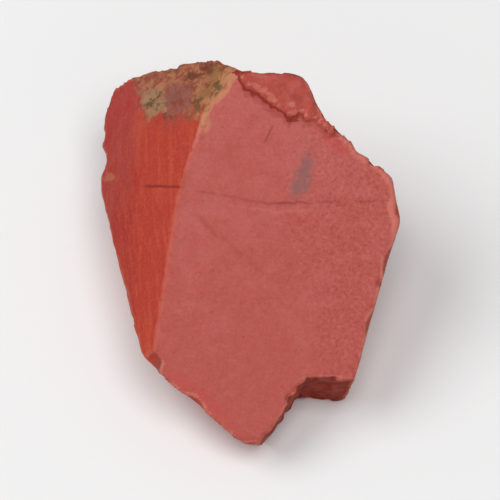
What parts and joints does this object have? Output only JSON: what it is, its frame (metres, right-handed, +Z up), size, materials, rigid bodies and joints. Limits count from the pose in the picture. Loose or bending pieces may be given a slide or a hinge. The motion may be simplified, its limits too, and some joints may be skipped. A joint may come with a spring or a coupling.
{
  "type": "rough red jasper stone",
  "caption": "Rough broken chunk of red jasper with a broad sloping face, a raised edge flake, a corner notch and a flat break to rest on.",
  "frame": {"origin": "under the middle of the stone's bounding box, on the surface it rests on", "axes": "+Z up from the resting break, +Y from the pointed, notched end to the high end, +X to the right seen from the pointed end"},
  "size_m": [0.0336, 0.0435, 0.0236],
  "materials": {
    "jasper": "dull fresh break, brick red"
  },
  "bodies": {
    "root": {"jasper_stone": "jasper"}
  },
  "joints": []
}
